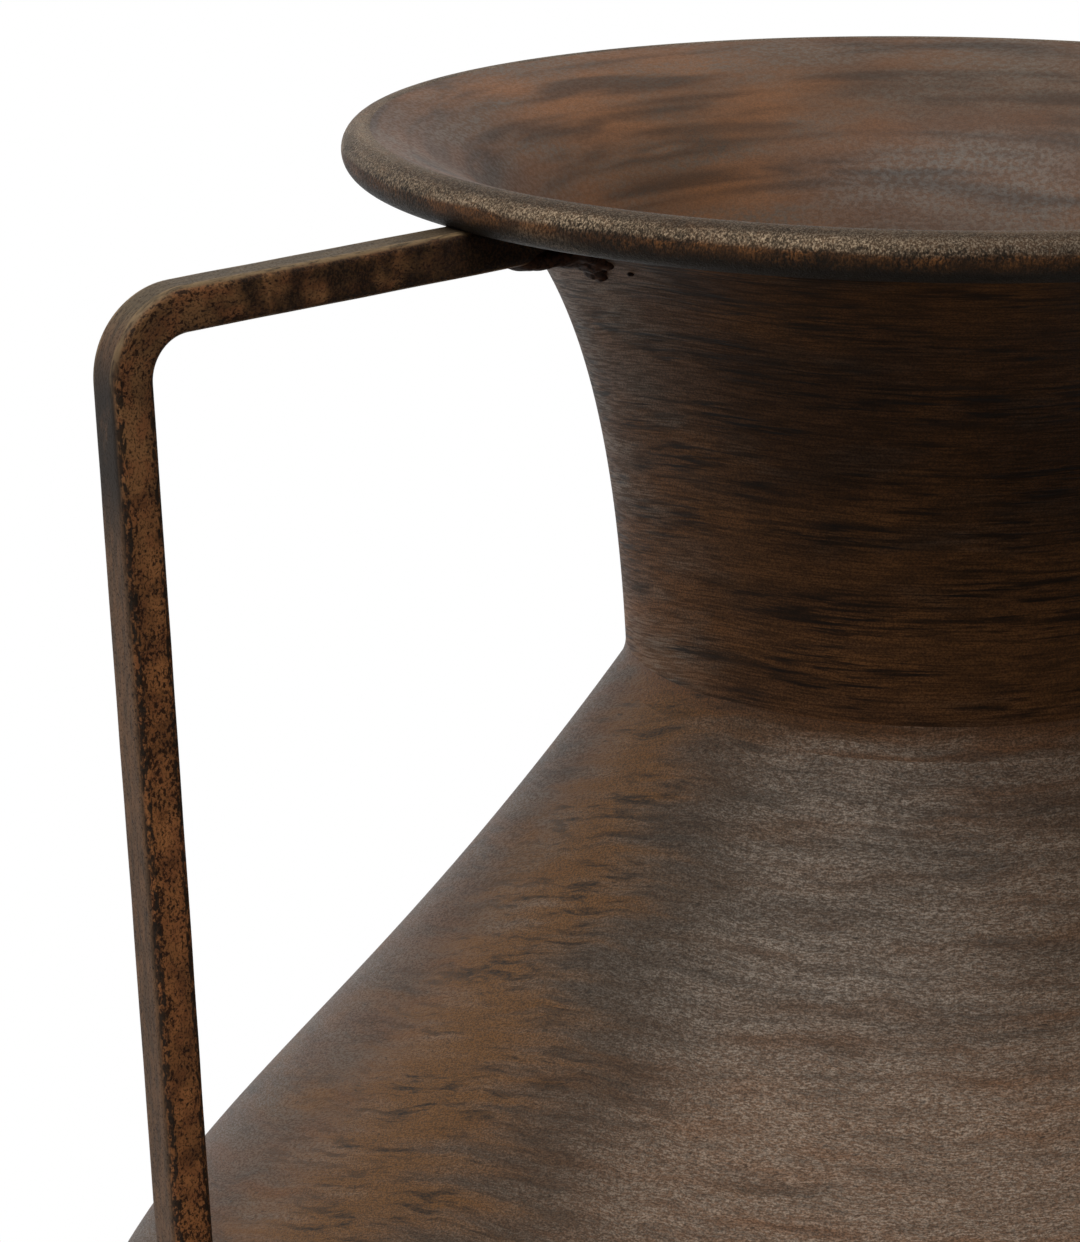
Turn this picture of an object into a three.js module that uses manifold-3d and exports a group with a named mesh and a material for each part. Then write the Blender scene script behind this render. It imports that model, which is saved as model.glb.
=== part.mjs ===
// Jug vase of spun and welded sheet iron: a trumpet neck with a rolled, wired lip, a sloping shoulder,
// a rounded lower body on a flat base plate, and one handle of bent square bar.
// Millimetres, +Z up. The origin is the centre of the base plate's underside, on the axis of the vase.
// The handle stands on the -X side, in the plane Y = 0.

import * as THREE from 'three';
import { mergeVertices } from 'three/addons/utils/BufferGeometryUtils.js';
import Module from 'manifold-3d';

const wasm = await Module();
wasm.setup();

// Overall form
const OVERALL_HEIGHT = 350;
const LIP_DIAMETER = 165;
const NECK_DIAMETER = 85;
const NECK_LENGTH = 77.1;
const BELLY_DIAMETER = 270;
const BELLY_HEIGHT = 102;
const BASE_SEAT_DIAMETER = 170;

// Sheet, wire, plate and bar
const SHEET = 1;
const WIRE_DIAMETER = 4;
const BASE_THICKNESS = 2;
const BASE_LEDGE = 4;
const BASE_EDGE = 0.5;
const BAR = 6;
const BAR_EDGE = 0.9;

// Directions of the walls, in degrees
const NECK_LEAN = 2.8;
const LIP_RISE = 15;
const LIP_CURL = 270;
const SHOULDER_LEAN = 33.8;
const FOOT_LEAN = 38;

// Fullness of each curve: how far it holds its end directions, as a share of its chord
const NECK_HOLD = 0.708;
const FLARE_HOLD = 0.222;
const SHOULDER_HOLD = 0.567;
const BELLY_HOLD = 0.438;
const LOWER_BELLY_HOLD = 0.5;
const FOOT_HOLD = 0.32;

// Handle: its bend, its foot on the shoulder, and the shallow notch that takes the lip
const HANDLE_REACH = 130.8;
const HANDLE_DROP = 11.4;
const HANDLE_FOOT_HEIGHT = 169;
const HANDLE_NOTCH = 0.4;
const BEND_RADIUS = 5.5;

// Welds
const SEAM_LEG = 2.4;
const SEAM_THROAT = 0.7;
const BELLY_SEAM_WIDTH = 3;
const BEAD = 1.4;
const UPPER_BEAD_LENGTH = 20;
const LOWER_BEAD_SPREAD = 1.5;

// Clearances between pieces that are fitted to each other
const FIT_GAP = 0.3;
const WIRE_GAP = 0.2;

// Facets
const TURNS = 48;
const NECK_STEPS = 10;
const CURL_STEPS = 9;
const BODY_STEPS = 11;
const WIRE_SIDES = 10;
const LIP_SIDES = 20;
const FILLET_STEPS = 3;
const BEND_STEPS = 8;
const EDGE_STEPS = 2;
const BEAD_DETAIL = 4;

// A direction in a flat outline, given by its angle from the first axis
function heading(degrees, length) {
  const angle = THREE.MathUtils.degToRad(degrees);
  return new THREE.Vector2(Math.cos(angle), Math.sin(angle)).multiplyScalar(length);
}

// A smooth curve that leaves one point and reaches another in given directions
function easedCurve(start, startDegrees, startHold, end, endDegrees, endHold) {
  const chord = start.distanceTo(end);
  const leaving = start.clone().add(heading(startDegrees, startHold * chord));
  const arriving = end.clone().sub(heading(endDegrees, endHold * chord));
  return new THREE.CubicBezierCurve(start, leaving, arriving, end);
}

// Points along a curve, moved to the left of its run by inset: the walls run upwards, so left is inwards
function pointsAlong(curve, steps, inset) {
  const points = [];
  for (let step = 0; step <= steps; step += 1) {
    const share = step / steps;
    const run = curve.getTangent(share);
    points.push(curve.getPoint(share).add(new THREE.Vector2(-run.y, run.x).multiplyScalar(inset)));
  }
  return points;
}

// Points on an arc, by angles in degrees
function arcPoints(centre, radius, fromDegrees, toDegrees, steps) {
  const points = [];
  for (let step = 0; step <= steps; step += 1) {
    const degrees = THREE.MathUtils.lerp(fromDegrees, toDegrees, step / steps);
    points.push(heading(degrees, radius).add(centre));
  }
  return points;
}

// The height on an upward-running wall curve is known: find the radius of its outside there
function radiusAtHeight(curve, height) {
  let low = 0;
  let high = 1;
  while (high - low > 1e-7) {
    const middle = (low + high) / 2;
    if (curve.getPoint(middle).y < height) {
      low = middle;
    } else {
      high = middle;
    }
  }
  return curve.getPoint(low).x;
}

// Turn a closed outline of (radius, height) points about the vertical axis
function turned(outline) {
  const geometry = new THREE.LatheGeometry([...outline, outline[0]], TURNS);
  geometry.rotateX(Math.PI / 2);
  return geometry;
}

// The solid of a closed geometry, ready for cutting and joining
function solidOf(geometry) {
  const bare = geometry.clone();
  bare.deleteAttribute('normal');
  bare.deleteAttribute('uv');
  const welded = mergeVertices(bare);
  return new wasm.Manifold(new wasm.Mesh({
    numProp: 3,
    vertProperties: new Float32Array(welded.attributes.position.array),
    triVerts: new Uint32Array(welded.index.array),
  }));
}

// The geometry of a cut solid
function geometryOf(solid) {
  const mesh = solid.getMesh();
  const geometry = new THREE.BufferGeometry();
  geometry.setAttribute('position', new THREE.BufferAttribute(mesh.vertProperties, mesh.numProp));
  geometry.setIndex(new THREE.BufferAttribute(mesh.triVerts, 1));
  geometry.computeVertexNormals();
  return geometry;
}

const vase = new THREE.Group();

// Add one piece under its name, in its own finish
function addPiece(name, geometry, color, roughness, metalness) {
  const material = new THREE.MeshStandardMaterial({ color, roughness, metalness });
  const piece = new THREE.Mesh(geometry, material);
  piece.name = name;
  vase.add(piece);
}

// Wall curves, each running upwards along the outside of its sheet
const lipRadius = WIRE_DIAMETER / 2 + WIRE_GAP + SHEET;
const lipCentre = new THREE.Vector2(LIP_DIAMETER / 2 - lipRadius, OVERALL_HEIGHT - lipRadius);
const curlStart = 90 + LIP_RISE;
const lipRoot = heading(curlStart, lipRadius - SHEET).add(lipCentre);
const waist = new THREE.Vector2(NECK_DIAMETER / 2, OVERALL_HEIGHT - NECK_LENGTH);
const neckFoot = waist.clone().add(new THREE.Vector2(0, FIT_GAP));
const neckCurve = easedCurve(neckFoot, 90 - NECK_LEAN, NECK_HOLD, lipRoot, LIP_RISE, FLARE_HOLD);

const bellyTop = new THREE.Vector2(BELLY_DIAMETER / 2, BELLY_HEIGHT + BELLY_SEAM_WIDTH / 2);
const shoulderEnd = 90 + SHOULDER_LEAN;
const shoulderCurve = easedCurve(bellyTop, 90, BELLY_HOLD, waist, shoulderEnd, SHOULDER_HOLD);

const bellyBottom = new THREE.Vector2(BELLY_DIAMETER / 2, BELLY_HEIGHT - BELLY_SEAM_WIDTH / 2);
const footEdge = new THREE.Vector2(BASE_SEAT_DIAMETER / 2, BASE_THICKNESS + FIT_GAP);
const lowerCurve = easedCurve(footEdge, 90 - FOOT_LEAN, FOOT_HOLD, bellyBottom, 90, LOWER_BELLY_HOLD);

// Neck: one sheet that flares like a trumpet, then curls over the top of the lip, down and back under
const curlEnd = 90 - LIP_CURL;
addPiece('neck', turned([
  ...pointsAlong(neckCurve, NECK_STEPS, 0),
  ...arcPoints(lipCentre, lipRadius - SHEET, 90, curlEnd, CURL_STEPS),
  ...arcPoints(lipCentre, lipRadius, curlEnd, 90, CURL_STEPS),
  ...pointsAlong(neckCurve, NECK_STEPS, SHEET).reverse(),
]), 0x4f3d30, 0.55, 0.3);

// Wire that stiffens the lip
addPiece('lip_wire', turned(
  arcPoints(lipCentre, WIRE_DIAMETER / 2, 0, 360, WIRE_SIDES).slice(1),
), 0x6b6b6a, 0.45, 0.9);

// Outline of a weld fillet that fills the corner between two walls and keeps clear of both
function filletOutline(corner, firstDegrees, secondDegrees) {
  const first = heading(firstDegrees, SEAM_LEG).add(corner);
  const second = heading(secondDegrees, SEAM_LEG).add(corner);
  const across = heading((firstDegrees + secondDegrees) / 2, SEAM_THROAT).add(corner);
  const face = new THREE.QuadraticBezierCurve(second, across, first);
  return [corner, ...face.getPoints(FILLET_STEPS)];
}

// Where two walls meet, the corner that lies one clearance away from each of them
function clearCorner(point, firstDegrees, secondDegrees) {
  const half = THREE.MathUtils.degToRad((firstDegrees - secondDegrees) / 2);
  return heading((firstDegrees + secondDegrees) / 2, FIT_GAP / Math.sin(half)).add(point);
}

// Weld in the crease between the neck and the shoulder
const neckSide = 90 - NECK_LEAN;
const shoulderSide = SHOULDER_LEAN - 90;
const neckCorner = clearCorner(waist, neckSide, shoulderSide);
addPiece('neck_seam_weld', turned(filletOutline(neckCorner, neckSide, shoulderSide)), 0x4c3628, 0.6, 0.3);

// Shoulder: the upper half of the body
addPiece('shoulder', turned([
  ...pointsAlong(shoulderCurve, BODY_STEPS, 0),
  ...pointsAlong(shoulderCurve, BODY_STEPS, SHEET).reverse(),
]), 0x5d4a3c, 0.55, 0.3);

// Weld between the two halves of the body, ground flush with them
const seamOutside = BELLY_DIAMETER / 2;
const seamHalf = BELLY_SEAM_WIDTH / 2 - FIT_GAP;
addPiece('belly_seam_weld', turned([
  new THREE.Vector2(seamOutside, BELLY_HEIGHT - seamHalf),
  new THREE.Vector2(seamOutside, BELLY_HEIGHT + seamHalf),
  new THREE.Vector2(seamOutside - SHEET, BELLY_HEIGHT + seamHalf),
  new THREE.Vector2(seamOutside - SHEET, BELLY_HEIGHT - seamHalf),
]), 0x574537, 0.6, 0.3);

// Lower body: the rounded lower half, down to the base plate
addPiece('lower_body', turned([
  ...pointsAlong(lowerCurve, BODY_STEPS, 0),
  ...pointsAlong(lowerCurve, BODY_STEPS, SHEET).reverse(),
]), 0x574537, 0.55, 0.3);

// Base plate: a disc with its edges broken, a little wider than the wall that stands on it
const baseRadius = BASE_SEAT_DIAMETER / 2 + BASE_LEDGE;
const basePlate = new THREE.LatheGeometry([
  new THREE.Vector2(0, 0),
  new THREE.Vector2(baseRadius - BASE_EDGE, 0),
  new THREE.Vector2(baseRadius, BASE_EDGE),
  new THREE.Vector2(baseRadius, BASE_THICKNESS - BASE_EDGE),
  new THREE.Vector2(baseRadius - BASE_EDGE, BASE_THICKNESS),
  new THREE.Vector2(0, BASE_THICKNESS),
], TURNS);
basePlate.rotateX(Math.PI / 2);
addPiece('base_plate', basePlate, 0x4a3a2f, 0.6, 0.3);

// Weld between the base plate and the lower body
const footSide = 90 - FOOT_LEAN;
const footCorner = clearCorner(new THREE.Vector2(footEdge.x, BASE_THICKNESS), footSide, 0);
addPiece('base_seam_weld', turned(filletOutline(footCorner, footSide, 0)), 0x4a3a2f, 0.6, 0.3);

// Handle: the run of the bar's middle line, from inside the neck, over the bend, into the shoulder
const lipSeat = new THREE.Vector2(-lipCentre.x, lipCentre.y - lipRadius + HANDLE_NOTCH - BAR / 2);
const bendCorner = new THREE.Vector2(-HANDLE_REACH, OVERALL_HEIGHT - HANDLE_DROP);
const footPoint = new THREE.Vector2(-radiusAtHeight(shoulderCurve, HANDLE_FOOT_HEIGHT), HANDLE_FOOT_HEIGHT);
const outwards = bendCorner.clone().sub(lipSeat).normalize();
const downwards = footPoint.clone().sub(bendCorner).normalize();
const innerEnd = lipSeat.clone().addScaledVector(outwards, -(lipCentre.x - NECK_DIAMETER / 2));
const lowerEnd = footPoint.clone().addScaledVector(downwards, 2 * BAR);

// The bent bar as a solid, with every side moved out by grow
function bentBar(grow) {
  const half = BAR / 2 + grow;
  const middleRadius = BEND_RADIUS + BAR / 2;
  const left = (run) => new THREE.Vector2(-run.y, run.x);
  const turn = Math.acos(outwards.dot(downwards));
  const tangent = middleRadius * Math.tan(turn / 2);
  const bendStart = bendCorner.clone().addScaledVector(outwards, -tangent);
  const centre = bendStart.clone().addScaledVector(left(outwards), middleRadius);
  const startAngle = left(outwards).negate().angle();
  const endAngle = startAngle + turn;
  const beside = (point, run, side) => point.clone().addScaledVector(left(run), side);

  const innerTop = beside(innerEnd, outwards, -half);
  const innerBottom = beside(innerEnd, outwards, half);
  const footFront = beside(lowerEnd, downwards, half);
  const footBack = beside(lowerEnd, downwards, -half);
  const outline = new THREE.Shape();
  outline.moveTo(innerTop.x, innerTop.y);
  outline.lineTo(innerBottom.x, innerBottom.y);
  outline.absarc(centre.x, centre.y, middleRadius - half, startAngle, endAngle, false);
  outline.lineTo(footFront.x, footFront.y);
  outline.lineTo(footBack.x, footBack.y);
  outline.absarc(centre.x, centre.y, middleRadius + half, endAngle, startAngle, true);
  outline.closePath();

  const depth = 2 * (half - BAR_EDGE);
  const geometry = new THREE.ExtrudeGeometry(outline, {
    depth,
    curveSegments: BEND_STEPS,
    bevelSize: BAR_EDGE,
    bevelOffset: -BAR_EDGE,
    bevelThickness: BAR_EDGE,
    bevelSegments: EDGE_STEPS,
  });
  geometry.translate(0, 0, -depth / 2);
  geometry.rotateX(Math.PI / 2);
  return solidOf(geometry);
}

// The room that the neck and the shoulder take up, with the clearance that a fitted piece keeps
const coreRadius = NECK_DIAMETER / 4;
function roomOf(curve, steps) {
  const outside = pointsAlong(curve, steps, -FIT_GAP);
  const top = new THREE.Vector2(coreRadius, outside[steps].y);
  const bottom = new THREE.Vector2(coreRadius, outside[0].y);
  return solidOf(turned([...outside, top, bottom]));
}
const lipRing = turned(arcPoints(lipCentre, lipRadius + FIT_GAP, 0, 360, LIP_SIDES).slice(1));
const neckRoom = roomOf(neckCurve, NECK_STEPS).add(solidOf(lipRing));
const shoulderRoom = roomOf(shoulderCurve, BODY_STEPS);

// Handle: the bar with its ends shaped to the neck and the shoulder
const handle = bentBar(0).subtract(neckRoom).subtract(shoulderRoom);
addPiece('handle', geometryOf(handle), 0x5a3f2c, 0.6, 0.3);

// A lump of weld metal, longest along the given direction in the handle's plane
function lump(centre, degrees, length, width, height) {
  const geometry = new THREE.IcosahedronGeometry(0.5, BEAD_DETAIL);
  geometry.scale(length, width, height);
  geometry.rotateY(THREE.MathUtils.degToRad(-degrees));
  geometry.translate(centre.x, 0, centre.y);
  return solidOf(geometry);
}

// Welds that run round the two ends of the bar and onto the sheet
const barRoom = bentBar(FIT_GAP);
const beadBelow = FIT_GAP + BEAD;
const beadAcross = BAR + 2 * beadBelow;
const upperDegrees = THREE.MathUtils.radToDeg(outwards.angle());
const endRadius = radiusAtHeight(neckCurve, lipSeat.y - BAR / 2);
const upperBead = lipSeat.clone().addScaledVector(outwards, endRadius + UPPER_BEAD_LENGTH / 4 - lipCentre.x);
upperBead.y -= beadBelow / 2;
const upperWeld = lump(upperBead, upperDegrees, UPPER_BEAD_LENGTH, beadAcross, BAR + beadBelow)
  .subtract(neckRoom)
  .subtract(barRoom);
addPiece('handle_upper_weld', geometryOf(upperWeld), 0x35261c, 0.65, 0.3);

const slopeAtFoot = radiusAtHeight(shoulderCurve, HANDLE_FOOT_HEIGHT - BAR)
  - radiusAtHeight(shoulderCurve, HANDLE_FOOT_HEIGHT + BAR);
const wallAngle = Math.atan2(2 * BAR, slopeAtFoot);
const meetingAngle = downwards.clone().negate().angle() - wallAngle;
const slantedCut = (BAR + 2 * FIT_GAP) / Math.sin(meetingAngle);
const lowerDegrees = THREE.MathUtils.radToDeg(wallAngle);
const lowerWeld = lump(footPoint, lowerDegrees, LOWER_BEAD_SPREAD * slantedCut, beadAcross, BAR + BEAD)
  .subtract(shoulderRoom)
  .subtract(barRoom);
addPiece('handle_lower_weld', geometryOf(lowerWeld), 0x3d2d22, 0.65, 0.3);

export default vase;
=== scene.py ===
# Jug vase of spun and welded sheet iron under a dry-brushed brown patina: flat base plate, rounded
# lower body, sloping shoulder, trumpet neck with a rolled lip, and one handle of bent square bar.
# Row frame in metres: origin under the middle of the base, +Z up, the handle on the -X side.

import math

import bmesh
import bpy
from mathutils import Matrix, Vector, noise


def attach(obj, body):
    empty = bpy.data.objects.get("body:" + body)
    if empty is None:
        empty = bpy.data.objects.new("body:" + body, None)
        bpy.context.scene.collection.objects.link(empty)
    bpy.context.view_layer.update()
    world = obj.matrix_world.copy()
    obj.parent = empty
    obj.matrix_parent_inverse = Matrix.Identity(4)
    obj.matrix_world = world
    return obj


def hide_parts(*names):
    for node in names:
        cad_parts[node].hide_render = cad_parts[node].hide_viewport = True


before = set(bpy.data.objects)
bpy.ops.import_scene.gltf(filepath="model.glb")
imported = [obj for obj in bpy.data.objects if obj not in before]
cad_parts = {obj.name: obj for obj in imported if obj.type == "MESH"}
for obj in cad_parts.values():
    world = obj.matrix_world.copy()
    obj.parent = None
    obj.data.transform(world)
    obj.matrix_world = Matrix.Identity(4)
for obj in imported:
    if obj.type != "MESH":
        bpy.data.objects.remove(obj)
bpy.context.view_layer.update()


# Base plate
# A disc of 2 mm sheet iron that closes the vessel and stands on the table. It is sheared a little
# wider than the wall above it, its edges are broken, and its patina is duller and more specked.
MM = 0.001
TURNS = 256
ON_AXIS = 1e-6
SHARP_EDGE = 38
BASE_RADIUS = 89.0
BASE_THICKNESS = 2.0
BASE_EDGE = 0.5
RUST_BROWN = (0.215, 0.095, 0.041, 1)
OCHRE_BROWN = (0.205, 0.089, 0.024, 1)
HAZE_BROWN = (0.270, 0.202, 0.148, 1)
UMBER = (0.026, 0.018, 0.012, 1)
RELIEF = 0.03
scene = bpy.context.scene


# A direction in a flat outline, given by its angle from the first axis
def heading(degrees, length=1.0):
    angle = math.radians(degrees)
    return Vector((math.cos(angle), math.sin(angle))) * length


# Points on an arc of an outline, by angles in degrees
def arc(centre, radius, first, last, steps):
    points = []
    for step in range(steps + 1):
        degrees = first + (last - first) * step / steps
        points.append(centre + heading(degrees, radius))
    return points


# Put a finished mesh into the scene as a piece that rides on the vase and stands for a solid
def piece(name, mesh, node_name):
    made = bpy.data.objects.new(name, mesh)
    scene.collection.objects.link(made)
    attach(made, "root")
    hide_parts(node_name)
    return made


# A mesh with its faces shaded as one, but for sharp edges. Its points carry marks, each under a label
def smooth_mesh(name, vertices, faces, marks, sharp):
    mesh = bpy.data.meshes.new(name)
    mesh.from_pydata(vertices, [], faces)
    for label, values in marks.items():
        mesh.attributes.new(label, "FLOAT", "POINT").data.foreach_set("value", values)
    mesh.shade_smooth()
    mesh.set_sharp_from_angle(angle=math.radians(sharp))
    return mesh


# Spin a closed outline of (radius, height) points, in mm, about the axis. Each point keeps how far
# along the outline it lies, counted from start, which gives the brush its lay, and any further marks
def spun(name, outline, node_name, finishes, finish_of=None, further=None, start=0.0):
    runs = [start]
    for before, after in zip(outline, outline[1:]):
        runs.append(runs[-1] + (after - before).length)
    kept = {"run": runs, **(further or {})}
    marks = {label: [] for label in kept}
    vertices = []
    rings = []
    for index, point in enumerate(outline):
        count = 1 if point.x < ON_AXIS else TURNS
        rings.append([len(vertices) + turn % count for turn in range(TURNS)])
        for turn in range(count):
            angle = 2 * math.pi * turn / TURNS
            vertices.append((point.x * math.cos(angle) * MM, point.x * math.sin(angle) * MM, point.y * MM))
        for label, values in kept.items():
            marks[label] += [values[index]] * count
    faces = []
    face_finish = []
    for index, low in enumerate(rings):
        high = rings[(index + 1) % len(rings)]
        for turn in range(TURNS):
            after = (turn + 1) % TURNS
            corners = list(dict.fromkeys((low[turn], low[after], high[after], high[turn])))
            if len(corners) > 2:
                faces.append(corners)
                face_finish.append(finish_of[index] if finish_of else 0)
    mesh = smooth_mesh(name, vertices, faces, marks, SHARP_EDGE)
    for finish in finishes:
        mesh.materials.append(finish)
    mesh.polygons.foreach_set("material_index", face_finish)
    mesh.validate()
    mesh.update()
    return piece(name, mesh, node_name)


# Add a shader node, set its own choices, and set or link its inputs
def node(tree, kind, inputs=None, **choices):
    made = tree.nodes.new(kind)
    for choice, value in choices.items():
        setattr(made, choice, value)
    for socket, value in (inputs or {}).items():
        if isinstance(value, bpy.types.NodeSocket):
            tree.links.new(value, made.inputs[socket])
        else:
            made.inputs[socket].default_value = value
    return made


def sums(tree, operation, first, second=0.0, third=0.0):
    return node(tree, "ShaderNodeMath", {0: first, 1: second, 2: third}, operation=operation).outputs[0]


def times(tree, first, *others):
    for other in others:
        first = sums(tree, "MULTIPLY", first, other)
    return first


def blend(tree, share, first, second):
    return node(tree, "ShaderNodeMix", {0: share, 6: first, 7: second}, data_type="RGBA").outputs[2]


# A value that goes softly from first to last while another goes from low to high
def between(tree, value, low, high, first=0.0, last=1.0):
    inputs = {0: value, 1: low, 2: high, 3: first, 4: last}
    return node(tree, "ShaderNodeMapRange", inputs, interpolation_type="SMOOTHSTEP").outputs[0]


def vector(tree, x=0.0, y=0.0, z=0.0):
    return node(tree, "ShaderNodeCombineXYZ", {0: x, 1: y, 2: z}).outputs[0]


def vectors(tree, operation, first, second):
    return node(tree, "ShaderNodeVectorMath", {0: first, 1: second}, operation=operation).outputs[0]


def cloud(tree, place, scale, detail):
    return node(tree, "ShaderNodeTexNoise", {"Vector": place, "Scale": scale, "Detail": detail}).outputs[0]


# What the points of a mesh carry under a name, such as how far along the outline they lie
def carried(tree, label):
    return node(tree, "ShaderNodeAttribute", attribute_name=label).outputs["Fac"]


# A place on a piece, in mm
def place_in_mm(tree):
    place = node(tree, "ShaderNodeTexCoord").outputs["Object"]
    return node(tree, "ShaderNodeVectorMath", {0: place, 3: 1 / MM}, operation="SCALE").outputs[0]


# Start a finish, with nothing in its node tree yet
def new_finish(name):
    finish = bpy.data.materials.new(name)
    finish.use_nodes = True
    finish.node_tree.nodes.clear()
    return finish, finish.node_tree


# End a finish as paint of a colour and roughness, with a relief of some depth in mm
def painted(tree, colour, roughness, specular, relief, depth):
    inputs = {"Strength": 1.0, "Distance": depth * MM, "Height": relief}
    bump = node(tree, "ShaderNodeBump", inputs).outputs[0]
    inputs = {"Base Color": colour, "Roughness": roughness, "Specular IOR Level": specular, "Normal": bump}
    paint = node(tree, "ShaderNodeBsdfPrincipled", inputs).outputs[0]
    node(tree, "ShaderNodeOutputMaterial", {"Surface": paint})


# Start an effect that several finishes share, with its named inputs and outputs
def effect(name, inputs, outputs):
    tree = bpy.data.node_groups.new(name, "ShaderNodeTree")
    for label, start in inputs.items():
        kind = "NodeSocketFloat"
        if isinstance(start, tuple):
            kind = "NodeSocketColor" if len(start) == 4 else "NodeSocketVector"
        socket = tree.interface.new_socket(label, in_out="INPUT", socket_type=kind)
        socket.default_value = start
    for label, kind in outputs.items():
        tree.interface.new_socket(label, in_out="OUTPUT", socket_type=kind)
    return tree, tree.nodes.new("NodeGroupInput").outputs, tree.nodes.new("NodeGroupOutput").inputs


# Place an effect in a finish, or in another effect, with its own values
def placed(tree, group, inputs):
    return node(tree, "ShaderNodeGroup", inputs, node_tree=group).outputs


# Marks left by a brush: spots of a given length along the brush's lay and width across it. They are cut
# out of a noise that hardly leaves the span from NOISE_LOW to NOISE_HIGH
NOISE_LOW = 0.24
NOISE_HIGH = 0.76
marks_effect, given, result = effect(
    "Brush Marks",
    {
        "Lay": (0.0, 0.0, 0.0),
        "Length": 10.0,
        "Width": 1.0,
        "Cover": 0.5,
        "Edge": 0.1,
        "Seed": 0.0,
        "Detail": 3.0,
    },
    {"Mask": "NodeSocketFloat"},
)
tree = marks_effect
along = sums(tree, "DIVIDE", 1.0, given["Length"])
across = sums(tree, "DIVIDE", 1.0, given["Width"])
scaled = vectors(tree, "MULTIPLY", given["Lay"], vector(tree, along, along, across))
shift = vector(tree, given["Seed"], given["Seed"], given["Seed"])
inputs = {
    "Vector": vectors(tree, "ADD", scaled, shift),
    "Scale": 1.0,
    "Detail": given["Detail"],
    "Roughness": 0.55,
    "Distortion": 0.25,
}
dappled = node(tree, "ShaderNodeTexNoise", inputs).outputs[0]
inputs = {0: given["Cover"], 1: 0.0, 2: 1.0, 3: NOISE_HIGH, 4: NOISE_LOW}
level = node(tree, "ShaderNodeMapRange", inputs).outputs[0]
below = sums(tree, "SUBTRACT", level, given["Edge"])
above = sums(tree, "ADD", level, given["Edge"])
tree.links.new(between(tree, dappled, below, above), result["Mask"])


# The patina of the sheet: rust brown with ochre clouds, dry-brushed with a grey-brown haze that catches on
# fine bristle lines, smudged and stroked with umber, and broken up by specks and grain
BARED = 0.92
CAUGHT_LEAST = 0.4
SPECK_DEPTH = 0.7
GAP_ROUGHNESS = 0.14
patina_effect, given, result = effect(
    "Brushed Patina",
    {
        "Lay": (0.0, 0.0, 0.0),
        "Rust": RUST_BROWN,
        "Ochre": OCHRE_BROWN,
        "Haze": HAZE_BROWN,
        "Umber": UMBER,
        "Ochre Cover": 0.3,
        "Ochre Bare": 0.0,
        "Cloud Length": 34.0,
        "Cloud Width": 13.0,
        "Cloud Detail": 3.0,
        "Haze Cover": 0.7,
        "Haze Width": 7.0,
        "Smudge Cover": 0.42,
        "Smudge Width": 5.0,
        "Smudge Depth": 0.42,
        "Smudge More": 0.0,
        "Stroke Length": 14.0,
        "Stroke Width": 0.7,
        "Stroke Cover": 0.32,
        "Stroke Edge": 0.08,
        "Stroke Depth": 0.5,
        "Stroke Detail": 3.0,
        "Stroke Break": 0.0,
        "Bristle Length": 0.9,
        "Bristle Width": 0.23,
        "Bristle Edge": 0.12,
        "Bristle Depth": 0.35,
        "Grain Depth": 0.62,
        "Speck Cover": 0.13,
        "Roughness": 0.42,
        "Seed": 0.0,
    },
    {"Color": "NodeSocketColor", "Roughness": "NodeSocketFloat", "Height": "NodeSocketFloat"},
)
tree = patina_effect


# Brush marks inside the patina, along its own lay
def patina_marks(length, width, cover, edge, seed, detail=3.0):
    values = {"Length": length, "Width": width, "Cover": cover, "Edge": edge, "Seed": seed, "Detail": detail}
    return placed(patina_effect, marks_effect, {"Lay": given["Lay"], **values})[0]


clouds = patina_marks(
    length=given["Cloud Length"],
    width=given["Cloud Width"],
    cover=given["Ochre Cover"],
    edge=0.12,
    seed=given["Seed"],
    detail=given["Cloud Detail"],
)
bristles = patina_marks(
    length=given["Bristle Length"],
    width=given["Bristle Width"],
    cover=0.5,
    edge=given["Bristle Edge"],
    seed=11.9,
)
strokes = patina_marks(
    length=given["Stroke Length"],
    width=given["Stroke Width"],
    cover=given["Stroke Cover"],
    edge=given["Stroke Edge"],
    seed=3.1,
    detail=given["Stroke Detail"],
)
haze = patina_marks(length=24.0, width=given["Haze Width"], cover=given["Haze Cover"], edge=0.18, seed=15.2)
smudges = patina_marks(
    length=22.0, width=given["Smudge Width"], cover=given["Smudge Cover"], edge=0.16, seed=21.4
)
gather = patina_marks(length=26.0, width=5.0, cover=0.55, edge=0.1, seed=7.3)
specks = patina_marks(length=1.2, width=0.34, cover=given["Speck Cover"], edge=0.08, seed=5.7)
grain = patina_marks(length=0.3, width=0.22, cover=0.5, edge=0.12, seed=31.0)

covered = sums(tree, "MULTIPLY_ADD", given["Ochre Bare"], -BARED, 1.0)
ochre = sums(tree, "MAXIMUM", clouds, given["Ochre Bare"])
layer = blend(tree, ochre, given["Rust"], given["Ochre"])
caught = sums(tree, "MULTIPLY_ADD", bristles, 1 - CAUGHT_LEAST, CAUGHT_LEAST)
layer = blend(tree, times(tree, haze, covered, caught), layer, given["Haze"])
smudges = sums(tree, "MAXIMUM", times(tree, smudges, covered), given["Smudge More"])
between_bristles = sums(tree, "SUBTRACT", 1.0, bristles)
gaps = times(tree, between_bristles, covered)
missed = times(tree, between_bristles, given["Stroke Break"])
strokes = times(tree, strokes, gather, sums(tree, "SUBTRACT", 1.0, missed))
for marks, depth in (
    (smudges, given["Smudge Depth"]),
    (gaps, given["Bristle Depth"]),
    (strokes, given["Stroke Depth"]),
    (specks, SPECK_DEPTH),
    (grain, given["Grain Depth"]),
):
    layer = blend(tree, times(tree, marks, depth), layer, given["Umber"])
tree.links.new(layer, result["Color"])
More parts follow.
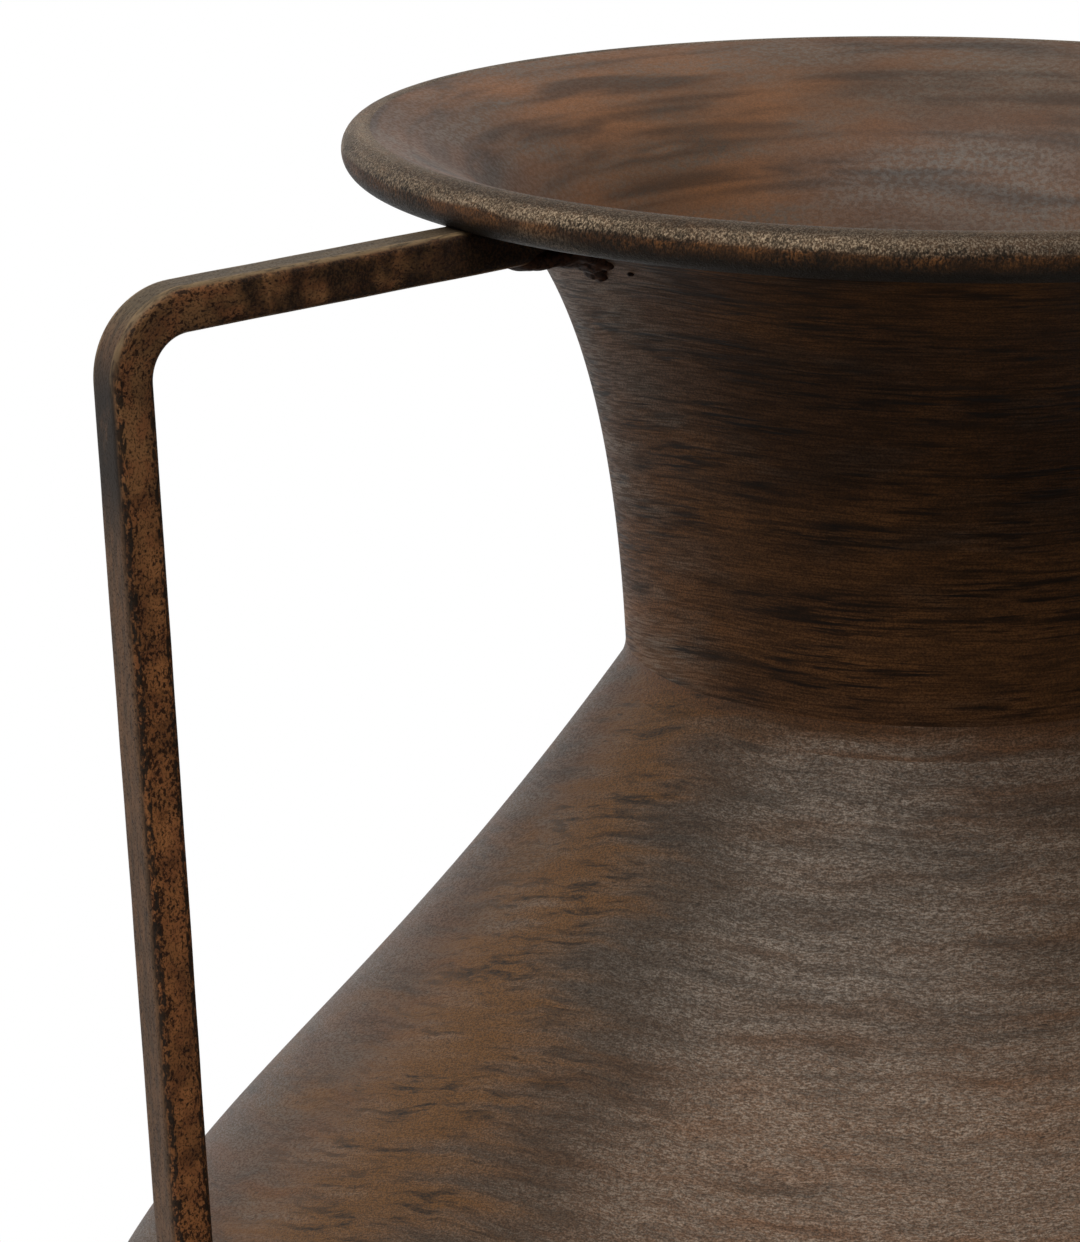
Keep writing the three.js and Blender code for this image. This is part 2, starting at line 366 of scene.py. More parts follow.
tree.links.new(sums(tree, "MULTIPLY_ADD", gaps, GAP_ROUGHNESS, given["Roughness"]), result["Roughness"])
tree.links.new(sums(tree, "SUBTRACT", bristles, strokes), result["Height"])


# A finish of the sheet, with the brush run round the axis and swaying by some millimetres. Its values say
# how the brush was held there, and varied adds values that change over the surface
def sheet_finish(name, values, relief_depth, sway=1.0, specular=0.2, varied=None):
    finish, tree = new_finish(name)
    spot = place_in_mm(tree)
    flat = node(tree, "ShaderNodeSeparateXYZ", {0: spot}).outputs
    drift = cloud(tree, spot, scale=0.03, detail=2.0)
    swayed = sums(tree, "MULTIPLY_ADD", drift, 2 * sway, carried(tree, "run"))
    lay = vector(tree, flat[0], flat[1], swayed)
    inputs = {"Lay": lay, **values}
    if varied:
        inputs.update(varied(tree, flat, lay))
    coat = placed(tree, patina_effect, inputs)
    painted(tree, coat["Color"], coat["Roughness"], specular, coat["Height"], relief_depth)
    return finish


base_values = {"Stroke Cover": 0.35, "Speck Cover": 0.3, "Roughness": 0.55}
base_finish = sheet_finish("base patina", base_values, RELIEF)
inner = BASE_RADIUS - BASE_EDGE
base_outline = [Vector((0, 0)), Vector((inner / 2, 0)), Vector((inner, 0))]
base_outline += arc(Vector((inner, BASE_EDGE)), BASE_EDGE, first=-60, last=0, steps=3)
base_outline += arc(Vector((inner, BASE_THICKNESS - BASE_EDGE)), BASE_EDGE, first=0, last=90, steps=4)
base_outline += [Vector((inner / 2, BASE_THICKNESS)), Vector((0, BASE_THICKNESS))]
spun("base_disc", base_outline, "base_plate", [base_finish])


# Lower body
# The rounded lower half, spun from 1 mm sheet over a former, standing on the base plate. Its foot is
# pulled in to 170 mm and its top edge runs straight up to the belly, where the shoulder is welded on.
SHEET = 1.0
SEAT_RADIUS = 85.0
BELLY_RADIUS = 135.0
BELLY_HEIGHT = 102.0
UPRIGHT = 90
FOOT_ANGLE = 52
FOOT_HOLD = 0.32
BELLY_HOLD = 0.5
BODY_STEPS = 72


# Points up the outside of a spun wall that leaves one place and reaches another in given directions,
# moved into the sheet by inset
def wall(start, leaving, start_hold, end, arriving, end_hold, steps, inset=0.0):
    chord = (end - start).length
    first = start + heading(leaving, start_hold * chord)
    second = end - heading(arriving, end_hold * chord)
    points = []
    for step in range(steps + 1):
        t = step / steps
        u = 1 - t
        spot = start * u**3 + first * (3 * u * u * t) + second * (3 * u * t * t) + end * t**3
        run = (first - start) * (u * u) + (second - first) * (2 * u * t) + (end - second) * (t * t)
        inwards = Vector((-run.y, run.x)).normalized()
        points.append(spot + inwards * inset)
    return points


foot_edge = Vector((SEAT_RADIUS, BASE_THICKNESS))
belly = Vector((BELLY_RADIUS, BELLY_HEIGHT))
lower_run = (foot_edge, FOOT_ANGLE, FOOT_HOLD, belly, UPRIGHT, BELLY_HOLD, BODY_STEPS)
lower_outside = wall(*lower_run)
below_belly = 0.0
for before, after in zip(lower_outside, lower_outside[1:]):
    below_belly -= (after - before).length

# How the strokes lean, by degrees round from the handle and counted from TURN_FROM on: they are drawn down
# after LEAN_STARTS, and come level again by LEAN_ENDS
STROKE_LEAN = 0.36
LEAN_STARTS = -7.5
LEAN_ENDS = 240.0
LEAN_EASE = 0.44
LEAN_SOFT = 14.0
TURN_FROM = -70.0


# How far round from the handle a place lies, in degrees
def round_from_handle(tree, flat):
    return sums(tree, "DEGREES", sums(tree, "ARCTAN2", flat[1], times(tree, flat[0], -1.0)))


# The brush's lay at a place, where the strokes were drawn down towards the back
def drawn_back(tree, flat, lay, turned, lean):
    whole_turn = sums(tree, "WRAP", turned, TURN_FROM + 360, TURN_FROM)
    leaning = sums(tree, "ADD", whole_turn, -LEAN_STARTS)
    easing = sums(tree, "MULTIPLY_ADD", whole_turn, -LEAN_EASE, LEAN_EASE * LEAN_ENDS)
    swing = sums(tree, "SMOOTH_MAX", sums(tree, "MINIMUM", leaning, easing), 0.0, LEAN_SOFT)
    level = vector(tree, flat[0], flat[1])
    reach = node(tree, "ShaderNodeVectorMath", {0: level}, operation="LENGTH").outputs["Value"]
    slip = times(tree, sums(tree, "RADIANS", swing), times(tree, reach, lean))
    return vectors(tree, "ADD", lay, vector(tree, z=slip))


# Where the body's coat changes: spans in degrees round from the handle, or in mm up the body
BARE_RISES = (-20.0, 4.0)
BARE_FALLS = (5.0, 28.0)
HEAPED_RISES = (-36.0, -12.0)
HEAPED_FALLS = (-13.0, 5.0)
THIN_RISES = (4.0, 24.0)
FRONT_RISES = (-66.0, -44.0)
CLOUDS_RISE = (-32.0, -10.0)
HANDLE_PASSED = (-26.0, -6.0)
BACK_FALLS = (105.0, 165.0)
GREY_RISES = (230.0, 244.0)
GREY_FALLS = (266.0, 278.0)
BARE_RAGGED = 40.0
HEAPED_RAGGED = 16.0
HEAPED_MOST = 0.9
HEAPED_LIFT = 4.0
PASSED_LIFT = 8.0
WANDER = 2.0
BODY_RUST = (0.320, 0.142, 0.061, 1)
BODY_HAZE = (0.418, 0.308, 0.223, 1)
GREY_RUSTS = ((0.215, 0.098, 0.043, 1), (0.200, 0.108, 0.058, 1))
# The second, paler and more neutral grey haze, used towards the front, is partly painted sheen
GREY_HAZES_AND_SHEEN = ((0.325, 0.242, 0.177, 1), (0.388, 0.313, 0.246, 1))
THIN_RUST = (0.165, 0.077, 0.036, 1)
THIN_HAZE = (0.150, 0.110, 0.080, 1)


def eased(tree, share, first, last):
    return between(tree, share, 0.0, 1.0, first, last)


def falling(tree, value, span):
    return between(tree, value, *span, 1.0, 0.0)


# A share that rises to 1 over one span of a value and falls back to 0 over a later one
def hump(tree, value, rise, fall):
    return times(tree, between(tree, value, *rise), falling(tree, value, fall))


# Where each stroke stops, as a share that changes from one stroke to the next
def stroke_stops(tree, lay, along, across):
    stretched = vectors(tree, "MULTIPLY", lay, (along, along, across))
    return cloud(tree, stretched, scale=1.0, detail=3.0)


# Behind the handle the brush could not pass: strokes drawn down and back stopped each at its own place,
# the ochre ground shows between them, and the paint heaped up darker in front, where they began. Further
# round the coat is thin. The upper part was gone over once more with grey, greyest at the front, where its
# paler haze is partly painted sheen of the overhead light
def body_bands(tree, flat, lay):
    turned = round_from_handle(tree, flat)
    slanted = drawn_back(tree, flat, lay, turned, STROKE_LEAN)
    wander = cloud(tree, slanted, scale=0.12, detail=1.0)
    slanted = vectors(tree, "ADD", slanted, vector(tree, z=times(tree, wander, WANDER)))
    stops = stroke_stops(tree, slanted, along=0.025, across=0.4)
    aside = sums(tree, "ADD", turned, sums(tree, "MULTIPLY_ADD", stops, BARE_RAGGED, -BARE_RAGGED / 2))
    bare = hump(tree, aside, BARE_RISES, BARE_FALLS)
    ragged = sums(tree, "MULTIPLY_ADD", stops, HEAPED_RAGGED, -HEAPED_RAGGED / 2)
    begun = between(tree, sums(tree, "ADD", turned, ragged), *HEAPED_RISES)
    heaped = times(tree, falling(tree, aside, HEAPED_FALLS), begun, HEAPED_MOST)
    away = hump(tree, turned, THIN_RISES, BACK_FALLS)
    height = sums(tree, "MULTIPLY_ADD", heaped, HEAPED_LIFT, flat[2])
    past_handle = hump(tree, turned, HANDLE_PASSED, BACK_FALLS)
    near_top = sums(tree, "MULTIPLY_ADD", past_handle, PASSED_LIFT, height)
    greyer = times(tree, between(tree, height, *GREY_RISES), falling(tree, near_top, GREY_FALLS))
    in_front = hump(tree, turned, FRONT_RISES, BACK_FALLS)
    clouded = hump(tree, turned, CLOUDS_RISE, BACK_FALLS)
    rust = blend(tree, greyer, BODY_RUST, blend(tree, in_front, *GREY_RUSTS))
    haze = blend(tree, greyer, BODY_HAZE, blend(tree, in_front, *GREY_HAZES_AND_SHEEN))
    return {
        "Lay": slanted,
        "Rust": blend(tree, away, rust, THIN_RUST),
        "Haze": blend(tree, away, haze, THIN_HAZE),
        "Ochre Bare": bare,
        "Ochre Cover": eased(tree, clouded, 0.16, 0.3),
        "Smudge Depth": eased(tree, heaped, 0.42, 0.68),
        "Smudge Cover": eased(tree, greyer, 0.32, 0.42),
        "Smudge More": heaped,
        "Stroke Depth": eased(tree, bare, 0.4, 1.0),
        "Haze Cover": eased(tree, away, 0.78, 0.5),
        "Grain Depth": eased(tree, away, 0.62, 0.3),
    }


BODY_STROKES = {
    "Stroke Length": 8.0,
    "Stroke Width": 0.9,
    "Stroke Cover": 0.39,
    "Stroke Detail": 5.0,
    "Stroke Break": 0.5,
    "Haze Width": 3.4,
    "Smudge Width": 2.6,
    "Speck Cover": 0.19,
    "Seed": 4.0,
}
body_finish = sheet_finish("body patina", BODY_STROKES, RELIEF, specular=0.16, varied=body_bands)
lower_inside = wall(*lower_run, inset=SHEET)[::-1]
spun("lower_shell", lower_outside + lower_inside, "lower_body", [body_finish], start=below_belly)


# Base seam
# A weld fillet that runs round the corner between the base plate and the lower body. It was laid by
# hand in short dabs, so its face ripples, and it was painted over with the rest.
SEAM_LEG = 2.6
FILLET_ROOT = 0.3
RIPPLES = 170
RIPPLE_DEPTH = 0.16
RIPPLE_UNEVEN = 0.6
RIPPLE_GRAIN = 300


# The outline of a fillet that fills the corner between two walls, with its root sunk into both
def fillet(corner, first_degrees, second_degrees, leg, steps):
    first = corner + heading(first_degrees, leg)
    second = corner + heading(second_degrees, leg)
    root = corner - heading((first_degrees + second_degrees) / 2, FILLET_ROOT)
    points = [root]
    for step in range(steps + 1):
        t = step / steps
        points.append(second * (1 - t) ** 2 + corner * (2 * t * (1 - t)) + first * t**2)
    return points


seam_outline = fillet(foot_edge, FOOT_ANGLE, 0, SEAM_LEG, steps=8)
seam = spun("base_fillet", seam_outline, "base_seam_weld", [body_finish], start=below_belly)
for vertex in seam.data.vertices:
    angle = math.atan2(vertex.co.y, vertex.co.x)
    radius = Vector((vertex.co.x, vertex.co.y)).length
    share = (radius / MM - SEAT_RADIUS) / SEAM_LEG
    swell = math.sin(math.pi * min(max(share, 0.0), 1.0))
    ripple = abs(math.sin(angle * RIPPLES / 2)) + RIPPLE_UNEVEN * noise.noise(vertex.co * RIPPLE_GRAIN)
    vertex.co.z += swell * ripple * RIPPLE_DEPTH * MM
seam.data.update()


# Shoulder
# The upper half of the body, spun from the same sheet: it leans in from the belly and sweeps up to the
# neck. A grey-brown haze was dry-brushed round it over rust, and ochre ground shows by the handle.
NECK_RADIUS = 42.5
CREASE_HEIGHT = 272.9
SHOULDER_ANGLE = 123.8
SHOULDER_HOLD = 0.438
CREASE_HOLD = 0.567
crease = Vector((NECK_RADIUS, CREASE_HEIGHT))
shoulder_run = (belly, UPRIGHT, SHOULDER_HOLD, crease, SHOULDER_ANGLE, CREASE_HOLD, BODY_STEPS)
shoulder_outside = wall(*shoulder_run)
shoulder_inside = wall(*shoulder_run, inset=SHEET)[::-1]
spun("shoulder_shell", shoulder_outside + shoulder_inside, "shoulder", [body_finish])


# Belly seam
# The weld that joins the two halves of the body at its widest line. It was ground flush and brushed
# over, so that only a slight band, a tenth of a millimetre proud, is left of it.
SEAM_HALF = 1.5
SEAM_PROUD = 0.1
SEAM_SUNK = 0.3
SEAM_SHY = 0.02
SEAM_STEPS = 8
WAVER = 0.05
WAVER_GRAIN = 120
seam_middle = Vector((BELLY_RADIUS - SEAM_SUNK, BELLY_HEIGHT))
band = [seam_middle + Vector((0, -SEAM_HALF))]
for step in range(SEAM_STEPS + 1):
    share = step / SEAM_STEPS
    rise = -SEAM_HALF + 2 * SEAM_HALF * share
    swell = SEAM_PROUD * math.sin(math.pi * share)
    band.append(seam_middle + Vector((SEAM_SUNK - SEAM_SHY + swell, rise)))
band.append(seam_middle + Vector((0, SEAM_HALF)))
belt = spun("belly_band", band, "belly_seam_weld", [body_finish], start=-SEAM_HALF)
for vertex in belt.data.vertices:
    radius = Vector((vertex.co.x, vertex.co.y)).length
    if radius > (BELLY_RADIUS - SEAM_PROUD) * MM:
        rise = WAVER * MM * noise.noise(vertex.co * WAVER_GRAIN)
        vertex.co.x *= 1 + rise / radius
        vertex.co.y *= 1 + rise / radius
belt.data.update()


# Neck
# A trumpet spun from 1 mm sheet. It stands nearly upright on the shoulder, opens into a wide flare, and
# its edge is rolled outwards round a wire into a thick lip, which the brush crossed in short dabs.
NECK_ANGLE = 87.2
NECK_HOLD = 0.708
FLARE_HOLD = 0.222
LIP_RADIUS = 3.2
LIP_CENTRE = Vector((79.3, 346.8))
LIP_RISE = 15
CURL_START = UPRIGHT + LIP_RISE
CURL_END = -205
CURL_STEPS = 40
NECK_STEPS = 64
lip_root = LIP_CENTRE + heading(CURL_START, LIP_RADIUS - SHEET)
neck_run = (crease, NECK_ANGLE, NECK_HOLD, lip_root, LIP_RISE, FLARE_HOLD, NECK_STEPS)
neck_outside = wall(*neck_run)
inside_roll = arc(LIP_CENTRE, LIP_RADIUS - SHEET, CURL_START, CURL_END, CURL_STEPS)[1:]
outside_roll = arc(LIP_CENTRE, LIP_RADIUS, CURL_END, CURL_START, CURL_STEPS)
neck_inside = wall(*neck_run, inset=SHEET)[::-1][1:]
neck_outline = neck_outside + inside_roll + outside_roll + neck_inside

NECK_LEAN = 0.18
NECK_RUST = (0.118, 0.049, 0.017, 1)
NECK_OCHRE = (0.215, 0.089, 0.029, 1)
# The second, paler neck haze, beside the handle, is painted sheen
NECK_HAZE_AND_SHEEN = ((0.105, 0.074, 0.052, 1), (0.270, 0.205, 0.152, 1))
NECK_UMBER = (0.009, 0.006, 0.004, 1)
CREASE_RUST = (0.195, 0.085, 0.035, 1)
CREASE_OCHRE = (0.215, 0.091, 0.034, 1)
# Beside the handle the neck's rust and ochre are painted lighter, as painted light from that side
BESIDE_LIT_RUST = (0.245, 0.138, 0.082, 1)
BESIDE_CREASE_LIT_RUST = (0.330, 0.150, 0.068, 1)
BESIDE_CREASE_LIT_OCHRE = (0.350, 0.155, 0.062, 1)
BESIDE_RISES = (-24.0, 8.0)
BESIDE_FALLS = (60.0, 165.0)
FOOT_FALLS = (274.0, 281.0)
FOOT_RAGGED = 12.0
FOOT_DROP = 5.0
FOOT_HAZE = 0.3
OCHRE_FALLS = (276.0, 318.0)


# Towards its foot the neck was brushed thinner, and more of the ochre ground shows. Beside the handle its
# coat is painted lighter, with a paler haze, as painted light and sheen from that side; the foot there is
# barer still, and its rust and ochre are painted lighter again, as painted light to match the lit shoulder
def neck_foot(tree, flat, lay):
    turned = round_from_handle(tree, flat)
    slanted = drawn_back(tree, flat, lay, turned, NECK_LEAN)
    beside = hump(tree, turned, BESIDE_RISES, BESIDE_FALLS)
    stops = sums(tree, "SUBTRACT", stroke_stops(tree, slanted, along=0.1, across=0.5), 0.5)
    ragged = sums(tree, "MULTIPLY_ADD", stops, FOOT_RAGGED, flat[2])
    foot = falling(tree, sums(tree, "MULTIPLY_ADD", beside, -FOOT_DROP, ragged), FOOT_FALLS)
    rust = blend(tree, beside, NECK_RUST, BESIDE_LIT_RUST)
    foot_rust = blend(tree, beside, CREASE_RUST, BESIDE_CREASE_LIT_RUST)
    foot_ochre = blend(tree, beside, CREASE_OCHRE, BESIDE_CREASE_LIT_OCHRE)
    foot_haze = times(tree, foot, FOOT_HAZE)
    return {
        "Lay": slanted,
        "Rust": blend(tree, foot, rust, foot_rust),
        "Ochre": blend(tree, foot, NECK_OCHRE, foot_ochre),
        "Haze": blend(tree, beside, *NECK_HAZE_AND_SHEEN),
        "Ochre Cover": between(tree, flat[2], *OCHRE_FALLS, 0.75, 0.36),
        "Haze Cover": sums(tree, "MAXIMUM", eased(tree, beside, 0.12, 0.45), foot_haze),
        "Grain Depth": eased(tree, times(tree, beside, foot), 0.56, 0.4),
    }


NECK_STROKES = {
    "Umber": NECK_UMBER,
    "Smudge Depth": 0.3,
    "Stroke Length": 11.0,
    "Stroke Width": 0.6,
    "Stroke Cover": 0.43,
    "Stroke Depth": 0.95,
    "Bristle Length": 5.0,
    "Bristle Width": 0.25,
    "Bristle Depth": 0.48,
    "Stroke Break": 0.3,
    "Speck Cover": 0.05,
    "Roughness": 0.5,
    "Seed": 1.0,
}
neck_finish = sheet_finish(
    "neck patina", NECK_STROKES, relief_depth=0.02, sway=0.5, specular=0.1, varied=neck_foot
)

FLARE_RUSTS = ((0.155, 0.069, 0.030, 1), (0.268, 0.118, 0.050, 1))
FLARE_OCHRES = ((0.208, 0.089, 0.035, 1), (0.340, 0.144, 0.056, 1))
FLARE_HAZE = (0.182, 0.133, 0.096, 1)
WARM_RISES = (42.0, 72.0)
WARM_FALLS = (98.0, 124.0)
HAZY_RISES = (85.0, 115.0)
HAZY_FALLS = (150.0, 175.0)
HAZE_LEAST = 0.4
HAZE_GAIN = 0.1


# Inside the flare the ground is warmest half-way round from the handle, and the haze thickest just beyond
def flare_sides(tree, flat, lay):
    turned = round_from_handle(tree, flat)
    warm = hump(tree, turned, WARM_RISES, WARM_FALLS)
    hazier = hump(tree, turned, HAZY_RISES, HAZY_FALLS)
    return {
        "Rust": blend(tree, warm, *FLARE_RUSTS),
        "Ochre": blend(tree, warm, *FLARE_OCHRES),
        "Haze Cover": sums(tree, "MULTIPLY_ADD", hazier, HAZE_GAIN, HAZE_LEAST),
    }


FLARE_STROKES = {
    "Haze": FLARE_HAZE,
    "Ochre Cover": 0.5,
    "Cloud Length": 26.0,
    "Cloud Width": 9.0,
    "Cloud Detail": 1.0,
    "Smudge Cover": 0.0,
    "Stroke Length": 50.0,
    "Stroke Width": 4.0,
    "Stroke Cover": 0.46,
    "Stroke Edge": 0.12,
    "Stroke Depth": 0.6,
    "Stroke Detail": 1.0,
    "Bristle Width": 0.6,
    "Bristle Depth": 0.12,
    "Grain Depth": 0.3,
    "Speck Cover": 0.0,
    "Seed": 8.0,
}
flare_finish = sheet_finish(
    "flare patina", FLARE_STROKES, relief_depth=0.01, sway=0.6, specular=0.4, varied=flare_sides
)

# Spans of the rim's coat, in degrees: round the vase from the handle, and round the roll from its outer side
# The first two spans place the painted highlight on the front of the roll, just before the handle
HIGHLIGHT_RISES = (-57.0, -42.0)
HIGHLIGHT_FALLS = (-16.0, 34.0)
BEFORE_RISES = (-160.0, -110.0)
BEFORE_FALLS = (-5.0, 35.0)
UNDER_SHADE_ENDS = (-40.0, 8.0)
CREST_FALLS = (38.0, 58.0)
TOP_RISES = (44.0, 62.0)
TOP_FALLS = (92.0, 102.0)
DRY_COAT_AND_HIGHLIGHT_RISES = (2.0, 30.0)
DABS_FALL = (15.0, 50.0)
BRISTLES_FALL = (60.0, 86.0)
TOP_DULL = 0.7
# Under the roll the rust and ochre are nearly black, as painted shade; the upper roll keeps rust and ochre
RIM_SHADE_AND_RUST = ((0.012, 0.009, 0.006, 1), (0.115, 0.050, 0.021, 1))
RIM_SHADE_AND_OCHRE = ((0.022, 0.016, 0.009, 1), (0.260, 0.108, 0.038, 1))
# The grey hazes on the upper roll are partly painted highlight of the overhead light
RIM_HAZES_AND_HIGHLIGHTS = ((0.400, 0.305, 0.210, 1), (0.300, 0.226, 0.156, 1))
# The lightest haze, on the roll's front before the handle, is painted highlight
CREST_HIGHLIGHT = (0.560, 0.415, 0.270, 1)
RIM_UMBER = (0.020, 0.014, 0.009, 1)


# Round the roll the brush left a grey dry coat on the upper part, partly painted highlight of the overhead
# light, lightest on the crest before the handle, where it is painted highlight; a dull line along the top,
# ochre and umber dabs in front, and painted shade, nearly black, below
def rim_bands(tree, flat, lay):
    turned = round_from_handle(tree, flat)
    turn = carried(tree, "turn")
    upper = between(tree, turn, *UNDER_SHADE_ENDS)
    crest_highlight = times(tree, falling(tree, turn, CREST_FALLS), hump(tree, turned, HIGHLIGHT_RISES, HIGHLIGHT_FALLS))
    before = hump(tree, turned, BEFORE_RISES, BEFORE_FALLS)
    dull = times(tree, hump(tree, turn, TOP_RISES, TOP_FALLS), before)
    return {
        "Rust": blend(tree, upper, *RIM_SHADE_AND_RUST),
        "Ochre": blend(tree, upper, *RIM_SHADE_AND_OCHRE),
        "Haze": blend(tree, crest_highlight, blend(tree, before, *RIM_HAZES_AND_HIGHLIGHTS), CREST_HIGHLIGHT),
        "Haze Cover": between(tree, turn, *DRY_COAT_AND_HIGHLIGHT_RISES, 0.05, 0.95),
        "Smudge More": times(tree, dull, TOP_DULL),
        "Stroke Depth": between(tree, turn, *DABS_FALL, 0.92, 0.5),
        "Bristle Depth": between(tree, turn, *BRISTLES_FALL, 0.62, 0.1),
    }


RIM_STROKES = {
    "Umber": RIM_UMBER,
    "Ochre Cover": 0.5,
    "Cloud Length": 4.0,
    "Cloud Width": 3.0,
    "Smudge Depth": 0.55,
    "Stroke Length": 0.42,
    "Stroke Width": 0.65,
    "Stroke Cover": 0.46,
    "Bristle Length": 0.22,
    "Bristle Width": 0.42,
    "Bristle Edge": 0.1,
    "Grain Depth": 0.3,
    "Speck Cover": 0.2,
    "Seed": 6.0,
}
rim_finish = sheet_finish(
    "rim patina", RIM_STROKES, relief_depth=0.06, sway=0.0, specular=0.12, varied=rim_bands
)
OUTSIDE, ROLL, INSIDE = range(3)
face_plan = [OUTSIDE] * (len(neck_outside) + len(inside_roll))
face_plan += [ROLL] * (len(outside_roll) - 1)
face_plan += [INSIDE] * (len(neck_outline) - len(face_plan))
turns = []
for point in neck_outline:
    spoke = point - LIP_CENTRE
    turns.append(math.degrees(math.atan2(spoke.y, spoke.x)))
neck_finishes = [neck_finish, rim_finish, flare_finish]
spun("trumpet_neck", neck_outline, "neck", neck_finishes, face_plan, {"turn": turns})


# Lip wire
# A ring of 4 mm drawn steel wire, sealed inside the rolled lip to stiffen it. It keeps its bare, drawn
# surface, with fine lines that run round the ring.
STEELS = ((0.42, 0.41, 0.40, 1), (0.30, 0.29, 0.28, 1))
BLOOM_BROWN = (0.22, 0.17, 0.13, 1)
wire_finish, tree = new_finish("drawn wire")
lay = place_in_mm(tree)
drawn = placed(tree, marks_effect, {"Lay": lay, "Length": 12.0, "Width": 0.12, "Edge": 0.25})[0]
bloom = placed(tree, marks_effect, {"Lay": lay, "Length": 6.0, "Width": 3.0, "Cover": 0.35})[0]
colour = blend(tree, bloom, blend(tree, drawn, *STEELS), BLOOM_BROWN)
inputs = {"Base Color": colour, "Roughness": eased(tree, bloom, 0.35, 0.6), "Metallic": 1.0}
steel = node(tree, "ShaderNodeBsdfPrincipled", inputs).outputs[0]
node(tree, "ShaderNodeOutputMaterial", {"Surface": steel})
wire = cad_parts["lip_wire"]
wire.data.materials.clear()
wire.data.materials.append(wire_finish)


# Neck seam
# The weld in the crease between neck and shoulder, dressed to a soft hollow and brushed over, so that
# the two sheets look like one.
CREASE_LEG = 2.8
HOLLOW_RISES = (272.0, 276.0)
crease_outline = fillet(crease, NECK_ANGLE, SHOULDER_ANGLE - 180, CREASE_LEG, steps=10)


# The brush of the shoulder ran up into the hollow, and the dark of the neck down to meet it
def crease_bands(tree, flat, lay):
    inputs = body_bands(tree, flat, lay)
    rise = between(tree, flat[2], *HOLLOW_RISES)
    inputs["Rust"] = blend(tree, rise, inputs["Rust"], CREASE_RUST)
    inputs["Ochre"] = blend(tree, rise, OCHRE_BROWN, CREASE_OCHRE)
    inputs["Haze Cover"] = eased(tree, rise, 0.6, 0.2)
    inputs["Smudge Depth"] = eased(tree, rise, 0.42, 0.25)
    return inputs


crease_finish = sheet_finish("crease patina", BODY_STROKES, RELIEF, specular=0.14, varied=crease_bands)
spun("crease_fillet", crease_outline, "neck_seam_weld", [crease_finish])


# Handle
# One length of 6 mm square bar with soft corners. It leaves the neck just under the lip, runs out almost
# level, turns down round a tight bend, and leans in to the shoulder. Its patina is rust with dark specks.
BAR = 6.0
BAR_CORNER = 1.1
BEND_RADIUS = 8.5
LIP_SEAT = Vector((-79.3, 341.0))
BEND_CORNER = Vector((-130.8, 338.6))
FOOT = Vector((-122.46, 169.0))
UNDER_LIP = 8.0
ABOVE_FOOT = 10.0
END_RUN = 12.0
BAR_STEP = 1.0
BEND_STEPS = 26
CORNER_STEPS = 5
FACE_STEPS = 7
BAR_SHARP = 50
UNEVEN = 0.05
UNEVEN_GRAIN = 0.11
UNEVEN_SEED = 1
SUNK = 0.4
FARTHEST = 40.0
HALVINGS = 40


# The radius of a wall's outside at a height, read between its points
def radius_at(points, height):
    for low, high in zip(points, points[1:]):
        if low.y <= height <= high.y:
            share = (height - low.y) / (high.y - low.y)
            return low.x + (high.x - low.x) * share
    return points[0].x if height < points[0].y else points[-1].x


# Follow a line from a point until it stands sunk in a wall
def meet(start, direction, points):
    near = 0.0
    far = FARTHEST
    for _ in range(HALVINGS):
        middle = (near + far) / 2
        spot = start + direction * middle
        if math.hypot(spot.x, spot.y) > radius_at(points, spot.z) - SUNK:
            near = middle
        else:
            far = middle
    return start + direction * near


outwards = (BEND_CORNER - LIP_SEAT).normalized()
downwards = (FOOT - BEND_CORNER).normalized()
turn = outwards.angle(downwards)
tangent = BEND_RADIUS * math.tan(turn / 2)
bend_start = BEND_CORNER - outwards * tangent
bend_end = BEND_CORNER + downwards * tangent
bend_middle = bend_start + Vector((-outwards.y, outwards.x)) * BEND_RADIUS
first_angle = math.degrees(math.atan2(-outwards.x, outwards.y))
middle_line = []
level_start = LIP_SEAT - outwards * UNDER_LIP
level_count = round((bend_start - level_start).length / BAR_STEP)
for step in range(level_count):
    middle_line.append((level_start.lerp(bend_start, step / level_count), outwards))
for step in range(BEND_STEPS + 1):
    spoke = heading(first_angle + math.degrees(turn) * step / BEND_STEPS)
    middle_line.append((bend_middle + spoke * BEND_RADIUS, Vector((-spoke.y, spoke.x))))
leg_end = FOOT - downwards * ABOVE_FOOT
leg_count = round((leg_end - bend_end).length / BAR_STEP)
for step in range(1, leg_count + 1):
    middle_line.append((bend_end.lerp(leg_end, step / leg_count), downwards))

# The bar's section: distance from the middle on the inner side of the bend, and along the Y axis, with
# how near each point lies to a corner
half = BAR / 2
flat_half = half - BAR_CORNER
section = []
for quarter in range(4):
    spin = Matrix.Rotation(math.radians(90 * quarter), 2)
    for spot in arc(Vector((flat_half, flat_half)), BAR_CORNER, first=0, last=90, steps=CORNER_STEPS):
        section.append((spin @ spot, 1.0))
    for step in range(1, FACE_STEPS):
        share = step / FACE_STEPS
        spot = Vector((flat_half, half)).lerp(Vector((-flat_half, half)), share)
        section.append((spin @ spot, abs(2 * share - 1)))
bar_rows = []
bar_runs = []
travelled = 0.0
for index, (spot, run) in enumerate(middle_line):
    if index:
        travelled += (spot - middle_line[index - 1][0]).length
    bar_runs.append(travelled)
    inner_side = Vector((-run.y, run.x))
    row = []
    for offset, _ in section:
        flat = spot + inner_side * offset.x
        row.append(Vector((flat.x, offset.y, flat.y)))
    bar_rows.append(row)
to_neck = Vector((-outwards.x, 0, -outwards.y))
to_shoulder = Vector((downwards.x, 0, downwards.y))
bar_rows.insert(0, [meet(point, to_neck, neck_outside) for point in bar_rows[0]])
bar_rows.append([meet(point, to_shoulder, shoulder_outside) for point in bar_rows[-1]])
